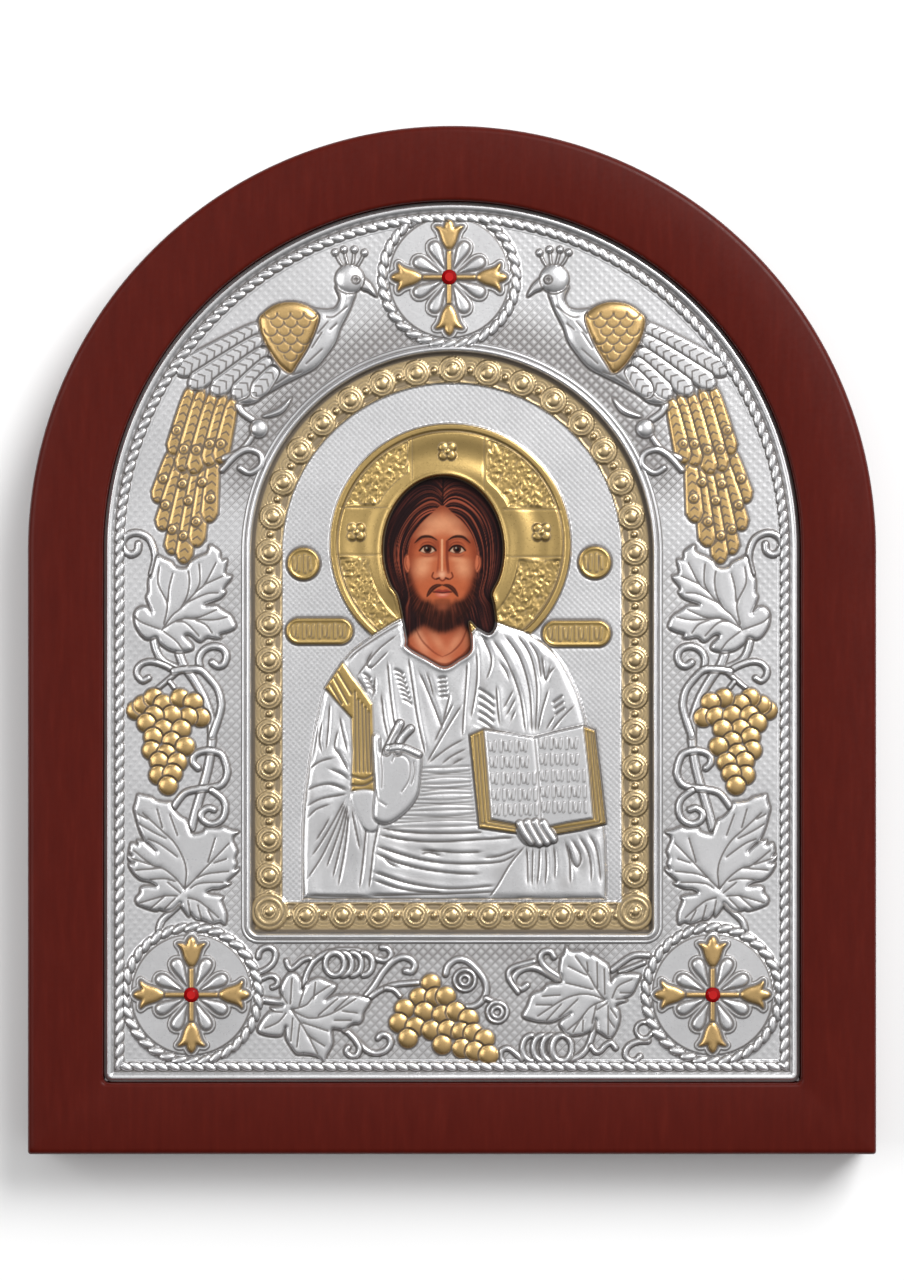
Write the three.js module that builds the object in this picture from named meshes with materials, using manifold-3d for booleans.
// A framed devotional panel: an arched wooden frame around an embossed silver and gilt relief.
// It lies on its back: X runs across it, Y up it and Z out of its face. All sizes are in millimetres.

import * as THREE from "three";
import { mergeVertices } from "three/addons/utils/BufferGeometryUtils.js";
import Module from "manifold-3d";

const wasm = await Module();
wasm.setup();

// Wooden frame
const PANEL_WIDTH = 211.8;
const PANEL_HEIGHT = 256.8;
const FRAME_DEPTH = 18;
const RAIL_WIDTH = 18.8;
const BOTTOM_RAIL_WIDTH = 17.8;
const OUTER_ROUND = 1.6;
const INNER_ROUND = 0.7;
const REBATE_WIDTH = 6;
const ARCH_STEPS = 24;

// Board, painting and sheets
const FIT_GAP = 0.3;
const BOARD_THICKNESS = 3;
const PAINTING_THICKNESS = 8.4;
const COVER_THICKNESS = 1;
const FIELD_BELOW_FRAME = 3;

// The silver border beside, above and below its window, and its mouldings
const BORDER_SIDE = 37.1;
const BORDER_TOP = 37.7;
const BORDER_BOTTOM = 37.4;
const RIM_WIDTH = 2.2;
const RIM_HEIGHT = 1.3;
const ROPE_INSET = 3.6;
const ROPE_WIDTH = 2.5;
const ROPE_PITCH = 6;
const ROPE_HEIGHT = 1;
const WINDOW_CORNER = 2;
const LIP_WIDTH = 3.2;
const LIP_HEIGHT = 1.5;

// Medallions
const MEDALLION_RADIUS = 17;
const MEDALLION_DISC_RADIUS = 14.8;
const MEDALLION_ROPE_PITCH = 6.2;
const MEDALLION_DISC_HEIGHT = 0.5;
const MEDALLION_TOP_DROP = 19;
const MEDALLION_TOP_SHIFT = -0.7;
const MEDALLION_CORNER_INSET = 22;
const PETAL_WIDTH = 3.2;
const PETAL_HEIGHT = 0.8;
const STONE_DIAMETER = 3.8;
const STONE_HEIGHT = 1.2;

// Gilt band and figure of the cover
const BAND_WIDTH = 7.6;
const BAND_HEIGHT = 0.5;
const ROSETTE_RADIUS = 2.8;
const ROSETTE_HEIGHT = 0.9;
const ROSETTE_PITCH = 9;
const CORNER_ROSETTE_RADIUS = 4.4;
const HALO_RADIUS = 30.2;
const HALO_HEIGHT = 0.7;
const HALO_RIM_WIDTH = 2.2;

// The free carving is drawn on a grid of squares from the panel's centre. On it stand the window's edge,
// the border's outer edge, the arch's centre, the window's sill and the border's foot.
const grid = { window: 50, edge: 87, arch: 22, sill: -73, foot: -110 };

const halfWidth = PANEL_WIDTH / 2;
const panelTop = PANEL_HEIGHT / 2;
const panelBottom = -panelTop;
const archY = panelTop - halfWidth;
const openHalf = halfWidth - RAIL_WIDTH;
const openBottom = panelBottom + BOTTOM_RAIL_WIDTH;
const windowHalf = openHalf - BORDER_SIDE;
const windowArchY = archY + openHalf - BORDER_TOP - windowHalf;
const windowBottom = openBottom + BORDER_BOTTOM;
const square = BORDER_SIDE / (grid.edge - grid.window);
const paintingZ = BOARD_THICKNESS + FIT_GAP;
const paintingTop = paintingZ + PAINTING_THICKNESS;
const coverZ = paintingTop + FIT_GAP;
const coverTop = coverZ + COVER_THICKNESS;
const fieldZ = FRAME_DEPTH - FIELD_BELOW_FRAME;
const SINK = 0.4;

// Solids from loops of points

function indexed(points, faces) {
  const geometry = new THREE.BufferGeometry();
  geometry.setAttribute("position", new THREE.Float32BufferAttribute(points.flat(), 3));
  geometry.setIndex(faces.flat());
  return geometry;
}

// Joins equal loops one to the next, and the last one to the first, as a tyre.
function tyre(loops) {
  const count = loops[0].length;
  const faces = [];
  loops.forEach((_, k) => {
    const low = k * count;
    const high = ((k + 1) % loops.length) * count;
    for (let i = 0; i < count; i++) {
      const j = (i + 1) % count;
      faces.push([low + i, high + j, low + j], [low + i, high + i, high + j]);
    }
  });
  return indexed(loops.flat(), faces);
}

// A raised form: its outline is drawn in steps [share, height] towards a crown, from a sunk foot up.
function mound(outline, centre, z, steps, crownHeight) {
  const levels = [[1, -SINK], ...steps];
  const points = [];
  for (const [share, height] of levels) {
    for (const [x, y] of outline) {
      const px = centre[0] + (x - centre[0]) * share;
      const py = centre[1] + (y - centre[1]) * share;
      points.push([px, py, z + height]);
    }
  }
  const count = outline.length;
  const foot = points.push([centre[0], centre[1], z - SINK]) - 1;
  const crown = points.push([centre[0], centre[1], z + crownHeight]) - 1;
  const faces = [];
  for (let i = 0; i < count; i++) {
    const j = (i + 1) % count;
    faces.push([foot, j, i]);
    for (let k = 0; k + 1 < levels.length; k++) {
      const low = k * count;
      const high = low + count;
      faces.push([low + i, low + j, high + j], [low + i, high + j, high + i]);
    }
    const last = (levels.length - 1) * count;
    faces.push([last + i, last + j, crown]);
  }
  return indexed(points, faces);
}

// A plate or a plain raised form between two heights, with holes.
function plate(outline, bottom, top, holes = []) {
  const shape = new THREE.Shape(outline.map(([x, y]) => new THREE.Vector2(x, y)));
  shape.holes = holes.map((hole) => new THREE.Path(hole.map(([x, y]) => new THREE.Vector2(x, y))));
  const geometry = new THREE.ExtrudeGeometry(shape, { depth: top - bottom, bevelEnabled: false });
  return geometry.translate(0, 0, bottom);
}

// A stem or a fold: a ridge swept along points [x, y], with its foot sunk below z.
function ridge(points, width, z, height, steps) {
  const curve = new THREE.CatmullRomCurve3(points.map(([x, y]) => new THREE.Vector3(x, y, z)));
  // Along a level curve the section's first axis points down.
  const section = new THREE.Shape([
    new THREE.Vector2(SINK, -width / 2),
    new THREE.Vector2(SINK, width / 2),
    new THREE.Vector2(-height, 0),
  ]);
  return new THREE.ExtrudeGeometry(section, { steps, extrudePath: curve, bevelEnabled: false });
}

function solid(geometry) {
  const bare = geometry.clone();
  bare.deleteAttribute("normal");
  bare.deleteAttribute("uv");
  const merged = mergeVertices(bare, 1e-4);
  const mesh = new wasm.Mesh({
    numProp: 3,
    vertProperties: merged.attributes.position.array,
    triVerts: new Uint32Array(merged.index.array),
  });
  return new wasm.Manifold(mesh);
}

function joined(base, raised) {
  return raised.reduce((whole, piece) => whole.add(solid(piece)), solid(base));
}

function geometryOf(made) {
  const mesh = made.getMesh();
  const geometry = new THREE.BufferGeometry();
  geometry.setAttribute("position", new THREE.BufferAttribute(mesh.vertProperties, 3));
  geometry.setIndex(new THREE.BufferAttribute(mesh.triVerts, 1));
  return geometry;
}

// Outlines

// An arch on straight sides, anticlockwise, from the right-hand bottom corner.
function archLoop(half, centreY, bottom, corner = 0, steps = ARCH_STEPS) {
  const loop = [];
  const turns = corner > 0 ? 3 : 0;
  const addCorner = (side) => {
    for (let i = 0; i <= turns; i++) {
      const share = side > 0 ? i / Math.max(turns, 1) : 1 - i / Math.max(turns, 1);
      const turn = (share - 1) * (Math.PI / 2);
      const x = side * (half - corner + corner * Math.cos(turn));
      loop.push([x, bottom + corner + corner * Math.sin(turn)]);
    }
  };
  addCorner(1);
  for (let i = 0; i <= steps; i++) {
    const turn = (i / steps) * Math.PI;
    loop.push([half * Math.cos(turn), centreY + half * Math.sin(turn)]);
  }
  addCorner(-1);
  return loop;
}

function circle(x, y, radius, count) {
  const loop = [];
  for (let i = 0; i < count; i++) {
    const turn = (i / count) * Math.PI * 2;
    loop.push([x + radius * Math.cos(turn), y + radius * Math.sin(turn)]);
  }
  return loop;
}

// Points at an even pitch along an arch, each with its heading.
function alongArch(half, centreY, bottom, pitch) {
  const loop = archLoop(half, centreY, bottom, 0, 96);
  const path = new THREE.CurvePath();
  loop.forEach(([x, y], i) => {
    const [nx, ny] = loop[(i + 1) % loop.length];
    path.add(new THREE.LineCurve(new THREE.Vector2(x, y), new THREE.Vector2(nx, ny)));
  });
  const count = Math.round(path.getLength() / pitch);
  const places = [];
  for (let i = 0; i < count; i++) {
    const share = (i + 0.5) / count;
    const point = path.getPointAt(share);
    const ahead = path.getTangentAt(share);
    places.push([point.x, point.y, Math.atan2(ahead.y, ahead.x)]);
  }
  return places;
}

// Free carving, on squares from the panel's centre

const windowDrop = (y) =>
  windowArchY + ((y - grid.arch) * (windowArchY - windowBottom)) / (grid.arch - grid.sill);

// A square of the border: along the foot, up the side, or round the arch.
function onBorder([x, y]) {
  if (y < grid.sill) {
    const across = BORDER_BOTTOM / (grid.sill - grid.foot);
    return [(x * openHalf) / grid.edge, windowBottom + (y - grid.sill) * across];
  }
  const rise = Math.max(y - grid.arch, 0);
  const reach = Math.hypot(x, rise);
  const stretch = (windowHalf + (reach - grid.window) * square) / reach;
  return [x * stretch, rise > 0 ? windowArchY + rise * stretch : windowDrop(y)];
}

// A square of the cover.
const onCover = ([x, y]) => [(x * windowHalf) / grid.window, windowDrop(y)];

// A vine leaf: for each lobe its bearing and reach from the point where the veins meet.
function vineLeaf(centre, lobes) {
  const outline = [];
  lobes.forEach(([bearing, reach], i) => {
    const [next, nextReach] = lobes[(i + 1) % lobes.length];
    const gap = (next - bearing + 360) % 360;
    const put = (degrees, radius) => {
      const turn = (degrees * Math.PI) / 180;
      outline.push([centre[0] + radius * Math.cos(turn), centre[1] + radius * Math.sin(turn)]);
    };
    const shoulder = Math.min(gap / 4, 10);
    put(bearing, reach);
    put(bearing + shoulder, reach * 0.86);
    put(bearing + gap / 2, Math.min(reach, nextReach) * (gap > 60 ? 0.6 : 0.72));
    put(next - shoulder, nextReach * 0.86);
  });
  return outline;
}

// A feather or petal from its root to its tip, widest at a share of its length.
function blade(root, tip, width, widest = 0.75) {
  const [dx, dy] = [tip[0] - root[0], tip[1] - root[1]];
  const length = Math.hypot(dx, dy);
  const place = (share, side) => [
    root[0] + dx * share - (dy / length) * side * width,
    root[1] + dy * share + (dx / length) * side * width,
  ];
  return [place(0, 0), place(widest, -0.5), place(1, 0), place(widest, 0.5)];
}

function middle(points) {
  const sum = points.reduce(([a, b], [x, y]) => [a + x, b + y], [0, 0]);
  return [sum[0] / points.length, sum[1] / points.length];
}

const EDGE = 0.45;

// Carving with an upright edge, and carving that slopes up from its outline.
const cushion = (outline, z, height, centre = middle(outline)) =>
  mound(outline, centre, z, [[1, EDGE]], height);
const gem = (outline, z, height, centre = middle(outline)) =>
  mound(outline, centre, z, [[1, 0]], height);

// A bent lozenge from one end through its middle to the other, for a fold of cloth or a tendril.
function fold([start, bend, end], width, z, height) {
  const length = Math.hypot(end[0] - start[0], end[1] - start[1]);
  const across = [(start[1] - end[1]) / length, (end[0] - start[0]) / length];
  const beside = (side) => bend.map((value, k) => value + (side * width * across[k]) / 2);
  return gem([start, beside(-1), end, beside(1)], z, height, bend);
}

const LEAF_HEIGHT = 1.3;
const FEATHER_HEIGHT = 0.9;
const TAIL_WIDTH = 3.2;
const STEM_WIDTH = 1.7;
const STEM_HEIGHT = 0.7;
const GRAPE_RADIUS = 2.3;
const GRAPE_HEIGHT = 1.5;

const sideLeaves = [
  { centre: [-72.3, 2.6], lobes: [[-34, 9.4], [3, 18.2], [37, 21.5], [61, 24.4], [95, 18.6], [168, 7.6]] },
  { centre: [-67, -62.5], lobes: [[-38, 13], [22, 15], [46, 20], [117, 26.6], [148, 16.6], [192, 12.4]] },
];
const bottomLeaves = [
  {
    centre: [-40.5, -92.5],
    lobes: [
      [7, 20.2], [28, 13], [48, 11.5], [87, 9.3], [155, 7.2], [214, 9.6], [278, 11], [303, 15.6], [346, 16],
    ],
  },
  {
    centre: [38.8, -90],
    lobes: [
      [38, 10.2], [102, 11], [127, 16.8], [158, 12.4], [174, 19], [191, 21.4], [207, 13.4], [232, 11],
      [277, 9.6],
    ],
  },
];

// Rows of grapes: height, first grape, how many, and their pitch.
const sideGrapes = [
  [-14.8, -74.8, 4, 3.5],
  [-18.2, -78.6, 5, 4],
  [-21.8, -76.4, 3, 4.4],
  [-25.4, -74.7, 3, 4.1],
  [-28.6, -75, 2, 3.8],
  [-31.6, -73.3, 2, 4.6],
  [-34, -73.3, 2, 3.6],
  [-36.6, -71, 1, 0],
];
const bottomGrapes = [
  [-86, -5.3, 1, 0],
  [-89.3, -8.2, 3, 3.4],
  [-92.8, -11.7, 5, 3.9],
  [-96.8, -13.4, 6, 3.8],
  [-99.6, -11, 1, 0],
  [-101, -2.3, 3, 4.7],
  [-103.2, 5, 2, 4],
];

const mainStem = [
  [-74, 0], [-73, -4], [-67, -7.6], [-60.5, -9.8], [-57.8, -15], [-60.2, -23.5], [-61.5, -34],
  [-65.3, -46.5],
];
const sideTendrils = [
  [[-75, 17], [-76.2, 24.6], [-80, 26.6], [-82.4, 23.6], [-79.4, 21.8]],
  [[-68, -7.8], [-75, -5.6], [-78.9, -7.6], [-77.6, -10.4], [-75.6, -9]],
  [[-62.8, -8], [-62.4, -3.6], [-59.4, -1.9], [-56.7, -4], [-59.4, -6.3]],
  [[-64.3, -31.5], [-63.6, -28.4], [-60, -28], [-56, -32], [-60, -36.8], [-66, -37.6], [-69.5, -41.5]],
  [[-61, -37.9], [-57, -40.6], [-58, -44.8], [-61.6, -45.4], [-60.4, -42.3]],
  [[-68, -66], [-71.8, -68.6], [-73.4, -73]],
];
const bottomTendrils = [
  [[-37.6, -87.5], [-35.8, -81.6], [-38.2, -80], [-40.4, -82], [-41.7, -80.2]],
  [[-35, -84], [-32, -78.6], [-26, -77.6], [-19.6, -78.6], [-15.6, -80.4], [-11, -78.8], [-11.4, -83]],
  [[-21, -89.5], [-17, -85.8], [-15.2, -80.8]],
  [[-26.8, -97.2], [-22, -102], [-18, -103.4], [-15, -100.6], [-18.6, -98.2]],
  [[-26.4, -97.6], [-23, -101.6], [-25, -104.2], [-26.9, -103], [-26.6, -101.4]],
  [[-48.6, -83.5], [-44.6, -80], [-46.4, -77]],
  [[-1.6, -83.5], [1.4, -79.8], [5.6, -82.6], [9.4, -87.4], [3.6, -91.6]],
  [[5.2, -87], [5, -83], [2, -83], [1, -85.8], [3, -87]],
  [[27.3, -84.8], [21, -81.6], [16.4, -81.6], [14.6, -85], [16.6, -87]],
  [[27.3, -84.4], [21.4, -80.6], [23.4, -77.6], [26, -78.6], [25.6, -80.6]],
  [[35.6, -96], [34, -101.4], [29.4, -104.4]],
  [[33.4, -102.8], [36.6, -102.8], [40.6, -101.6]],
  [[12.6, -105], [13.4, -101.8], [17.8, -104.4]],
  [[49, -79], [43.2, -79.8], [40.2, -83.6]],
  [[49, -99.8], [43.4, -101.4], [47, -105]],
];
const coils = [
  { first: [-29.2, -80.9], radius: 2.6, turns: 5, pitch: 1.9 },
  { first: [27.3, -101.9], radius: 2.6, turns: 5, pitch: -1.9 },
];

const wing = [
  [-33.6, 81.5], [-36, 83.8], [-40, 84.7], [-45, 83.4], [-48.4, 80], [-47.4, 75], [-44.5, 70], [-41, 67],
  [-38.6, 68.4], [-35.2, 75],
];
const body = [
  [-28.4, 78], [-31, 72.5], [-35, 68.3], [-41, 65], [-45.4, 66.5], [-48.8, 71], [-50, 77], [-48.4, 80.6],
  [-40, 84], [-32, 82.6],
];
const beak = [[-23.4, 91.6], [-23.4, 88], [-18.9, 86]];
const neck = [[-26.2, 89], [-26.8, 85], [-29.4, 80.5], [-34, 75]];
const head = [-25.6, 90.2];
const crest = [[-28.9, 97], [-26.8, 98], [-24.3, 97.7], [-22, 96.8]];
const leg = [[-50.5, 60.5], [-52.6, 58], [-50, 56], [-47.5, 54.5], [-48.6, 52]];
const flightFeathers = [
  { root: [-49.5, 78], tip: [-69, 67], width: 5 },
  { root: [-48.6, 74], tip: [-65.6, 63.4], width: 4.4 },
  { root: [-47.4, 71.5], tip: [-60, 61.8], width: 4.2 },
  { root: [-46, 69.4], tip: [-54.6, 60.4], width: 4 },
  { root: [-44.2, 67.6], tip: [-49.4, 61], width: 3.8 },
];
// Each row of tail feathers: roots and tips run evenly from the first feather to the last.
const tailRows = [
  { count: 6, roots: [[-69.5, 48], [-59.6, 46]], tips: [[-73.8, 34.4], [-60.6, 29.6]], dip: -10 },
  { count: 5, roots: [[-65.6, 62], [-54.6, 59.4]], tips: [[-70.4, 46.4], [-58.2, 44.4]], dip: -3.4 },
];

function between([x0, y0], [x1, y1], share) {
  return [x0 + (x1 - x0) * share, y0 + (y1 - y0) * share];
}

function tailFeathers({ count, roots, tips, dip }) {
  return Array.from({ length: count }, (_, i) => {
    const share = i / (count - 1);
    const root = between(roots[0], roots[1], share);
    const [x, y] = between(tips[0], tips[1], share);
    return { root, tip: [x, y + dip * Math.sin(share * Math.PI)], width: TAIL_WIDTH };
  });
}

const stem = (points, width, z, height = STEM_HEIGHT) =>
  ridge(points, width, z, height, points.length - 1);

// A curling stem: one bent lozenge for each pair of steps along it.
function tendril(points, z) {
  const arcs = [];
  for (let i = 0; i + 2 < points.length; i += 2) {
    arcs.push(fold(points.slice(i, i + 3).map(onBorder), STEM_WIDTH, z, STEM_HEIGHT));
  }
  return arcs;
}

function feather({ root, tip, width }, z, height) {
  return gem(blade(onBorder(root), onBorder(tip), width * square), z, height);
}

function leaf({ centre, lobes }) {
  return gem(vineLeaf(centre, lobes).map(onBorder), fieldZ, LEAF_HEIGHT, onBorder(centre));
}

function grapes(rows, z) {
  return rows.flatMap(([y, first, count, pitch]) =>
    Array.from({ length: count }, (_, i) => {
      const centre = onBorder([first + i * pitch, y]);
      return gem(circle(...centre, GRAPE_RADIUS * square, 5), z, GRAPE_HEIGHT, centre);
    }),
  );
}

// A coiled tendril seen from its side: one whole turn, then the near half of each other turn.
function coil({ first, radius, turns, pitch }, z) {
  const half = (centre, side) =>
    [[0, -radius], [side * radius, 0], [0, radius]].map(([x, y]) => [centre + x, first[1] + side * y]);
  const near = Math.sign(pitch);
  const arcs = Array.from({ length: turns }, (_, i) => half(first[0] + i * pitch, near));
  arcs.push(half(first[0], -near));
  return arcs.map((arc) => fold(arc.map(onBorder), STEM_WIDTH * 0.8, z, STEM_HEIGHT));
}

// Mouldings

// A moulding along the panel's arch: its section is a list of [inset from the edge, height].
function moulding(half, centreY, bottom, section, corner = 0) {
  const loops = section.map(([inset, z]) =>
    archLoop(half - inset, centreY, bottom + inset, Math.max(corner - inset, 0)).map(([x, y]) => [x, y, z]),
  );
  return tyre(loops);
}

function ropeLobe([x, y, heading], length, width, z) {
  return new THREE.OctahedronGeometry(1)
    .scale(length / 2, width / 2, ROPE_HEIGHT)
    .rotateZ(heading + 0.35)
    .translate(x, y, z);
}

// The pieces

function woodenFrame() {
  const rebateTop = BOARD_THICKNESS + FIT_GAP;
  const section = [
    [0, 0],
    [RAIL_WIDTH - REBATE_WIDTH, 0],
    [RAIL_WIDTH - REBATE_WIDTH, rebateTop],
    [RAIL_WIDTH, rebateTop],
    [RAIL_WIDTH, FRAME_DEPTH - INNER_ROUND],
    [RAIL_WIDTH - INNER_ROUND, FRAME_DEPTH],
    [OUTER_ROUND, FRAME_DEPTH],
    [OUTER_ROUND * 0.3, FRAME_DEPTH - OUTER_ROUND * 0.3],
    [0, FRAME_DEPTH - OUTER_ROUND],
  ];
  const bottomShift = BOTTOM_RAIL_WIDTH - RAIL_WIDTH;
  const loops = section.map(([inset, z]) => {
    const bottom = panelBottom + inset + (inset > RAIL_WIDTH / 2 ? bottomShift : 0);
    return archLoop(halfWidth - inset, archY, bottom).map(([x, y]) => [x, y, z]);
  });
  return tyre(loops);
}

function backBoard() {
  const half = openHalf + REBATE_WIDTH - FIT_GAP;
  return plate(archLoop(half, archY, openBottom - REBATE_WIDTH + FIT_GAP), 0, BOARD_THICKNESS);
}

const medallions = {
  top: [MEDALLION_TOP_SHIFT, archY + openHalf - MEDALLION_TOP_DROP],
  left: [-(openHalf - MEDALLION_CORNER_INSET), openBottom + MEDALLION_CORNER_INSET],
  right: [openHalf - MEDALLION_CORNER_INSET, openBottom + MEDALLION_CORNER_INSET],
};

function medallionParts([x, y]) {
  const floor = fieldZ + MEDALLION_DISC_HEIGHT;
  const parts = [plate(circle(x, y, MEDALLION_DISC_RADIUS, 20), fieldZ - SINK, floor)];
  const lobes = Math.round((2 * Math.PI * MEDALLION_RADIUS) / MEDALLION_ROPE_PITCH);
  circle(x, y, MEDALLION_RADIUS, lobes).forEach(([px, py]) => {
    const heading = Math.atan2(py - y, px - x) + Math.PI / 2;
    parts.push(ropeLobe([px, py, heading], MEDALLION_ROPE_PITCH, ROPE_WIDTH, fieldZ));
  });
  const turned = (radius, degrees) => {
    const turn = (degrees * Math.PI) / 180;
    return [x + radius * Math.cos(turn), y + radius * Math.sin(turn)];
  };
  const reach = MEDALLION_DISC_RADIUS;
  const stoneEdge = STONE_DIAMETER / 2 + FIT_GAP;
  // Half a tulip of the cross: share of the reach, and degrees from its axis.
  const tulip = [[0.52, 9], [0.88, 13.5], [0.84, 6]];
  for (let arm = 0; arm < 4; arm++) {
    const bearing = arm * 90;
    const left = tulip.map(([share, degrees]) => turned(reach * share, bearing - degrees));
    const right = tulip.map(([share, degrees]) => turned(reach * share, bearing + degrees)).reverse();
    const flower = [...left, turned(reach * 0.98, bearing), ...right];
    parts.push(cushion(flower, floor, PETAL_HEIGHT));
    const stalk = [turned(stoneEdge, bearing), turned(reach * 0.6, bearing)];
    parts.push(ridge(stalk, STEM_WIDTH, floor, PETAL_HEIGHT, 1));
    for (const side of [27, 63]) {
      const root = turned(stoneEdge + FIT_GAP, bearing + side);
      parts.push(gem(blade(root, turned(reach * 0.65, bearing + side), PETAL_WIDTH), floor, PETAL_HEIGHT));
    }
  }
  return parts;
}

function birdParts() {
  const parts = [
    cushion(body.map(onBorder).reverse(), fieldZ, 1),
    cushion(wing.map(onBorder), fieldZ, 1.7),
    stem(neck.map(onBorder), 5 * square, fieldZ, 1.1),
    gem(beak.map(onBorder), fieldZ, 0.8),
    gem(circle(...onBorder(head), 3.5 * square, 10), fieldZ, 1.4, onBorder(head)),
    ...tendril(leg, fieldZ),
  ];
  crest.forEach((ball) => {
    parts.push(gem(circle(...onBorder(ball), 1.1 * square, 5), fieldZ, 0.8, onBorder(ball)));
    parts.push(gem(blade(onBorder(between(ball, head, 0.6)), onBorder(ball), 0.8, 0.5), fieldZ, 0.4));
  });
  tailRows.forEach((row, i) => {
    tailFeathers(row).forEach((one) => parts.push(feather(one, fieldZ, FEATHER_HEIGHT + i * 0.3)));
  });
  flightFeathers.forEach((one) => parts.push(feather(one, fieldZ, FEATHER_HEIGHT + 0.5)));
  return parts;
}

function mirrorX(geometry) {
  const copy = geometry.index ? geometry.toNonIndexed() : geometry.clone();
  const places = copy.getAttribute("position");
  for (let i = 0; i < places.count; i += 3) {
    const [a, b] = [i + 1, i + 2].map((k) => [places.getX(k), places.getY(k), places.getZ(k)]);
    places.setXYZ(i, -places.getX(i), places.getY(i), places.getZ(i));
    places.setXYZ(i + 1, -b[0], b[1], b[2]);
    places.setXYZ(i + 2, -a[0], a[1], a[2]);
  }
  return copy;
}

function silverBorder() {
  const outerHalf = openHalf - FIT_GAP;
  const outerBottom = openBottom + FIT_GAP;
  const window = archLoop(windowHalf, windowArchY, windowBottom, WINDOW_CORNER);
  const base = plate(archLoop(outerHalf, archY, outerBottom), paintingZ, fieldZ, [window]);
  const rim = moulding(outerHalf, archY, outerBottom, [
    [0, fieldZ - SINK],
    [RIM_WIDTH, fieldZ - SINK],
    [RIM_WIDTH * 0.6, fieldZ + RIM_HEIGHT],
    [0, fieldZ + RIM_HEIGHT * 0.8],
  ]);
  const lipHalf = windowHalf + LIP_WIDTH;
  const lip = moulding(lipHalf, windowArchY, windowBottom - LIP_WIDTH, [
    [0, fieldZ - SINK],
    [LIP_WIDTH, fieldZ - SINK],
    [LIP_WIDTH, fieldZ + LIP_HEIGHT * 0.8],
    [LIP_WIDTH * 0.6, fieldZ + LIP_HEIGHT],
    [0, fieldZ - SINK / 2],
  ], WINDOW_CORNER + LIP_WIDTH);
  const inset = FIT_GAP + ROPE_INSET;
  const rope = alongArch(openHalf - inset, archY, openBottom + inset, ROPE_PITCH)
    .map((place) => ropeLobe(place, ROPE_PITCH, ROPE_WIDTH, fieldZ));
  const side = [
    ...sideLeaves.map(leaf),
    stem(mainStem.map(onBorder), STEM_WIDTH, fieldZ),
    ...sideTendrils.flatMap((points) => tendril(points, fieldZ)),
    ...grapes(sideGrapes, fieldZ),
    ...birdParts(),
  ];
  const bottom = [
    ...bottomLeaves.map(leaf),
    ...bottomTendrils.flatMap((points) => tendril(points, fieldZ)),
    ...coils.flatMap((one) => coil(one, fieldZ)),
    ...grapes(bottomGrapes, fieldZ),
  ];
  const raised = [rim, lip, ...rope, ...side, ...side.map(mirrorX), ...bottom];
  raised.push(...Object.values(medallions).flatMap(medallionParts));
  return geometryOf(joined(base, raised));
}

// The cover's figure, on squares from the panel's centre

const haloCentre = [-0.4, 24];
const robe = [
  [-37, -64.8], [38.8, -64.8], [38.6, -50], [36.5, -36], [33.4, -20], [31, -12], [27, -4.5], [21, 0.6],
  [14, 3.2], [6, 4.6], [-2, -7.5], [-12, 5.4], [-19, 1.6], [-26.5, -3.4], [-32.2, -11.6], [-34.5, -22],
  [-37.4, -42],
];
const sleeveStripe = [
  [-27.6, -5.6], [-31.8, -11.6], [-25.2, -19.4], [-25, -37.6], [-19.2, -37.2], [-20, -15.4], [-24, -9],
];
const palm = [
  [-20, -40], [-19, -45.8], [-13.6, -43.6], [-9.2, -39], [-7.8, -33], [-8.2, -28.6], [-11.6, -27],
  [-16.6, -26.4], [-19.4, -24.5],
];
const fingers = [
  [[-16.6, -30], [-15.4, -24.4], [-13.2, -20.6]],
  [[-13.4, -30], [-12.8, -25.4], [-10.4, -22]],
  [[-17.8, -34], [-19, -29], [-19.2, -25]],
  [[-15.6, -29.4], [-12, -27.6], [-8.6, -28.6]],
];
const bookCover = [[7, -46.4], [24, -48.6], [38.4, -46.4], [35.4, -22.2], [20.4, -25.4], [4.4, -23.8]];
const bookPages = [[10, -44.8], [22, -46.6], [35, -44.8], [32.8, -21.6], [20.4, -24.6], [8, -22.4]];
const knuckles = [[16.6, -46.6], [18.6, -46.4], [20.6, -46.2], [22.6, -46.2]];
const plaques = [
  { centre: [-37.2, 19.1], length: 8.4, width: 8.4 },
  { centre: [35.8, 19.4], length: 8.4, width: 8.4 },
  { centre: [-33.2, 2.2], length: 17, width: 6.8 },
  { centre: [31.2, 1.6], length: 17.4, width: 6.8 },
];
// The painted head shows through this opening: hair to a point below, a collar and one long lock.
const headCrown = { centre: [-2.2, 22.6], across: 15, up: 18.4, from: -36, to: 222 };
const headCollar = [[-11.4, 0.4], [-11.2, -1.8], [-2, -6.8], [4.8, -2.2], [4.2, 4.6], [9, 1.6], [10.6, 4]];

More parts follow.
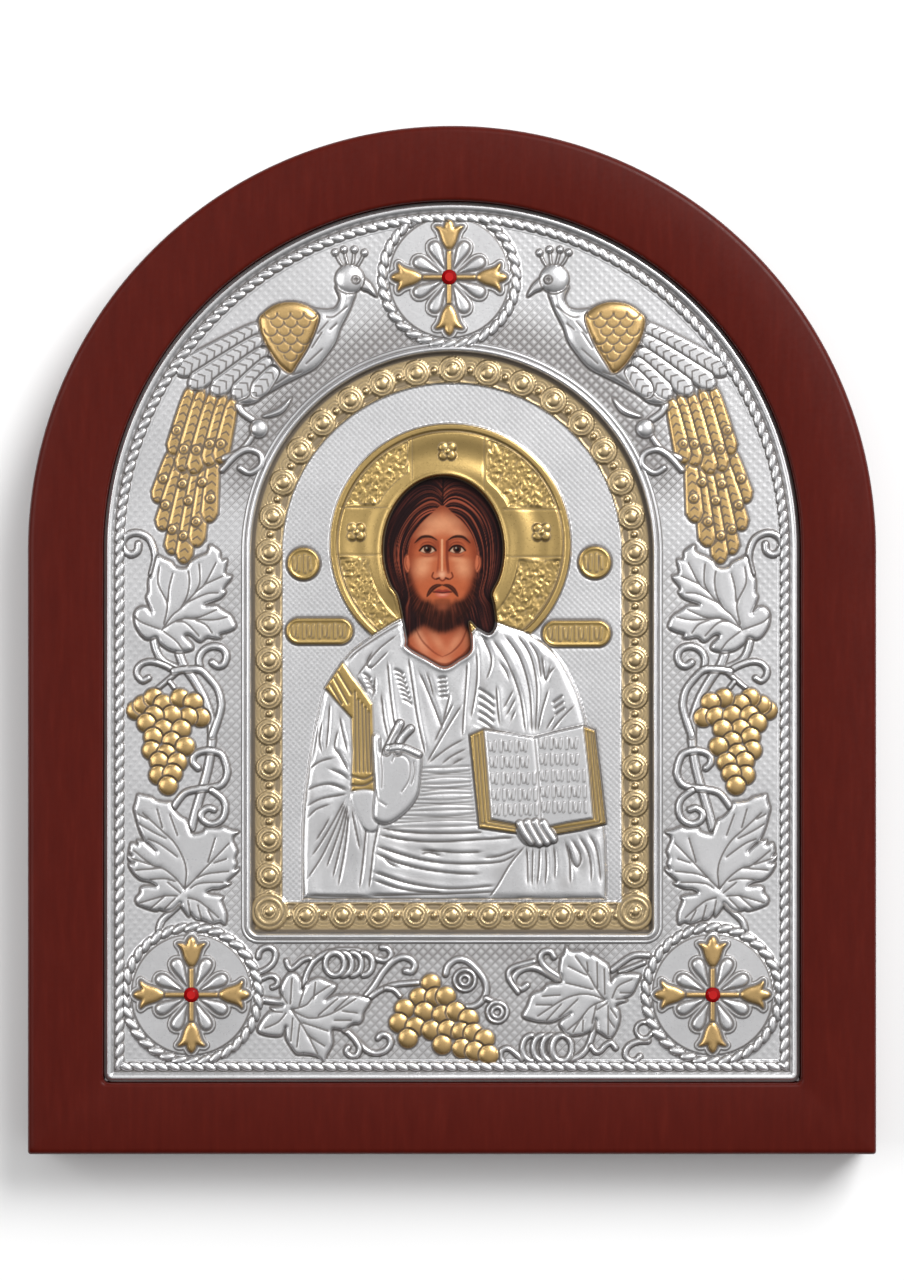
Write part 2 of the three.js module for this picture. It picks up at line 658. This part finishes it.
// Folds of the robe: each set runs evenly from its first line to its last.
const foldSets = [
  {
    count: 5,
    first: [[-27.5, -40], [-31, -49], [-36, -60]],
    last: [[-22, -40], [-22.5, -50], [-23.4, -63]],
  },
  {
    count: 5,
    first: [[-18.6, -49], [-6, -52.5], [10, -51.5]],
    last: [[-19, -60], [-6, -63], [9.4, -63]],
  },
  {
    count: 6,
    first: [[-7, -32], [0, -32.4], [5, -32]],
    last: [[-15, -44.6], [-4, -46.4], [5.6, -46.4]],
  },
  {
    count: 7,
    first: [[16.5, -51], [13, -57], [10.4, -63.6]],
    last: [[35.4, -50.4], [36.6, -56], [37, -62]],
  },
  {
    count: 6,
    first: [[9, 0.5], [11, -8], [9.6, -20]],
    last: [[24, -3], [28, -11], [31, -20.5]],
  },
  {
    count: 5,
    first: [[-13.6, 1], [-17.4, -12], [-16.6, -22]],
    last: [[-3.4, -8.6], [-3.6, -18], [-5.6, -28]],
  },
  {
    count: 3,
    first: [[4, -5], [0.6, -18], [-4.4, -29]],
    last: [[7.6, -5], [6.4, -15], [3.4, -24]],
  },
  {
    count: 3,
    first: [[-31.4, -14], [-33.4, -24], [-35.6, -33]],
    last: [[-27, -20], [-28, -28], [-26.4, -34]],
  },
];
const FOLD_WIDTH = 1.6;
const FOLD_HEIGHT = 0.7;
const ROBE_HEIGHT = 1.1;
const STRIPE_HEIGHT = 1.6;
const HAND_HEIGHT = 1.5;
const BOOK_HEIGHT = 2;
const PAGE_HEIGHT = 2.5;
const FINGER_WIDTH = 2.4;
const FINGER_HEIGHT = 1.2;

function headOpening() {
  const { centre, across, up, from, to } = headCrown;
  const outline = [];
  for (let i = 0; i <= 20; i++) {
    const turn = ((from + ((to - from) * i) / 20) * Math.PI) / 180;
    outline.push([centre[0] + across * Math.cos(turn), centre[1] + up * Math.sin(turn)]);
  }
  return [...outline, ...headCollar].map(onCover);
}

function halo() {
  const centre = onCover(haloCentre);
  const top = coverTop + HALO_HEIGHT;
  const disc = plate(circle(...centre, HALO_RADIUS, 30), coverTop - SINK, top);
  const ring = (outer, inner, height) =>
    plate(circle(...centre, outer, 30), coverTop - SINK, height, [circle(...centre, inner, 30)]);
  const rim = ring(HALO_RADIUS, HALO_RADIUS - HALO_RIM_WIDTH, top + SINK);
  const arms = [
    [[-10.4, 36], [8.6, 36], [8.6, 51], [-10.4, 51]],
    [[-29, 20.6], [-10, 20.6], [-10, 34.4], [-28.4, 34.4]],
    [[9, 20.6], [28, 20.6], [27.4, 34.4], [9, 34.4]],
  ].map((corners) => plate(corners.map(onCover), coverTop, top + SINK / 2));
  return [disc, rim, ...arms];
}

function figure() {
  const shape = new THREE.Shape(robe.map(onCover).map(([x, y]) => new THREE.Vector2(x, y)));
  const slope = ROBE_HEIGHT / 2;
  const bevel = { bevelThickness: slope, bevelSize: slope, bevelOffset: -slope, bevelSegments: 1 };
  const cloth = new THREE.ExtrudeGeometry(shape, { depth: slope, ...bevel }).translate(0, 0, coverTop);
  const clothTop = coverTop + ROBE_HEIGHT;
  const folds = foldSets.flatMap(({ first, last, count }) =>
    Array.from({ length: count }, (_, i) => {
      const line = first.map((point, k) => between(point, last[k], i / (count - 1)));
      return fold(line.map(onCover), FOLD_WIDTH, clothTop, FOLD_HEIGHT);
    }),
  );
  const raised = (outline, height) => cushion(outline.map(onCover), clothTop, height);
  return [
    cloth,
    ...folds,
    plate(sleeveStripe.map(onCover), coverTop - SINK, coverTop + STRIPE_HEIGHT),
    raised(palm, HAND_HEIGHT),
    ...fingers.map((line) => ridge(line.map(onCover), FINGER_WIDTH, clothTop + EDGE, FINGER_HEIGHT, 3)),
    plate(bookCover.map(onCover), coverTop - SINK, coverTop + BOOK_HEIGHT),
    plate(bookPages.map(onCover), coverTop - SINK, coverTop + PAGE_HEIGHT),
    ...knuckles.map(([x, y]) => {
      const line = [[x, y], [x + 1.6, y - 4.4]].map(onCover);
      return stem(line, FINGER_WIDTH, coverTop + BOOK_HEIGHT, FINGER_HEIGHT);
    }),
  ];
}

function plaque({ centre, length, width }) {
  const round = width / 2;
  const reach = length / 2 - round;
  const outline = [];
  for (let i = 0; i < 10; i++) {
    const turn = ((i + 0.5) / 10) * Math.PI * 2 - Math.PI / 2;
    const side = Math.cos(turn) > 0 ? 1 : -1;
    outline.push([centre[0] + side * reach + round * Math.cos(turn), centre[1] + round * Math.sin(turn)]);
  }
  return plate(outline.map(onCover), coverTop - SINK, coverTop + HALO_HEIGHT);
}

function rosette(x, y, radius, z) {
  return gem(circle(x, y, radius, 6), z, ROSETTE_HEIGHT, [x, y]);
}

function giltBand(outerHalf, centreY, bottom) {
  const z = coverTop;
  const band = moulding(outerHalf, centreY, bottom, [
    [0, z - SINK],
    [BAND_WIDTH, z - SINK],
    [BAND_WIDTH, z + BAND_HEIGHT],
    [0, z + BAND_HEIGHT],
  ]);
  const inset = BAND_WIDTH / 2;
  const cornerX = outerHalf - CORNER_ROSETTE_RADIUS;
  const cornerY = bottom + CORNER_ROSETTE_RADIUS;
  const clear = CORNER_ROSETTE_RADIUS + ROSETTE_RADIUS;
  const rosettes = alongArch(outerHalf - inset, centreY, bottom + inset, ROSETTE_PITCH)
    .filter(([x, y]) => Math.hypot(Math.abs(x) - cornerX, y - cornerY) > clear)
    .map(([x, y]) => rosette(x, y, ROSETTE_RADIUS, z + BAND_HEIGHT));
  for (const x of [-cornerX, cornerX]) {
    rosettes.push(rosette(x, cornerY, CORNER_ROSETTE_RADIUS, z + BAND_HEIGHT));
  }
  return [band, ...rosettes];
}

function iconCover() {
  const half = windowHalf - FIT_GAP;
  const bottom = windowBottom + FIT_GAP;
  const base = plate(archLoop(half, windowArchY, bottom, WINDOW_CORNER), coverZ, coverTop);
  const band = giltBand(half - FIT_GAP, windowArchY, bottom + FIT_GAP);
  const raised = [...band, ...halo(), ...plaques.map(plaque), ...figure()];
  const opening = plate(headOpening(), coverZ - 1, FRAME_DEPTH);
  return geometryOf(joined(base, raised).subtract(solid(opening)));
}

function paintedPanel() {
  const outline = archLoop(windowHalf - FIT_GAP, windowArchY, windowBottom + FIT_GAP, WINDOW_CORNER);
  return plate(outline, paintingZ, paintingTop);
}

function redStone([x, y]) {
  const radius = STONE_DIAMETER / 2;
  const foot = fieldZ + MEDALLION_DISC_HEIGHT + FIT_GAP;
  const profile = [
    [0, 0],
    [radius, 0],
    [radius, STONE_HEIGHT * 0.4],
    [radius * 0.6, STONE_HEIGHT],
    [0, STONE_HEIGHT],
  ].map(([r, z]) => new THREE.Vector2(r, z));
  return new THREE.LatheGeometry(profile, 12).rotateX(Math.PI / 2).translate(x, y, foot);
}

const finishes = {
  wood: { color: "#4d1513", roughness: 0.42, metalness: 0 },
  board: { color: "#6b4a35", roughness: 0.85, metalness: 0 },
  silver: { color: "#cfcfd1", roughness: 0.3, metalness: 1 },
  gilt: { color: "#c9ab5e", roughness: 0.32, metalness: 1 },
  paint: { color: "#a5512f", roughness: 0.5, metalness: 0 },
  stone: { color: "#b3090c", roughness: 0.08, metalness: 0 },
};

const panel = new THREE.Group();

function addPiece(name, geometry, finish) {
  const mesh = new THREE.Mesh(geometry, new THREE.MeshStandardMaterial(finishes[finish]));
  mesh.name = name;
  panel.add(mesh);
}

addPiece("wooden_frame", woodenFrame(), "wood");
addPiece("back_board", backBoard(), "board");
addPiece("silver_border", silverBorder(), "silver");
addPiece("icon_cover", iconCover(), "gilt");
addPiece("painted_panel", paintedPanel(), "paint");
for (const [place, centre] of Object.entries(medallions)) {
  addPiece("red_stone_" + place, redStone(centre), "stone");
}

export default panel;
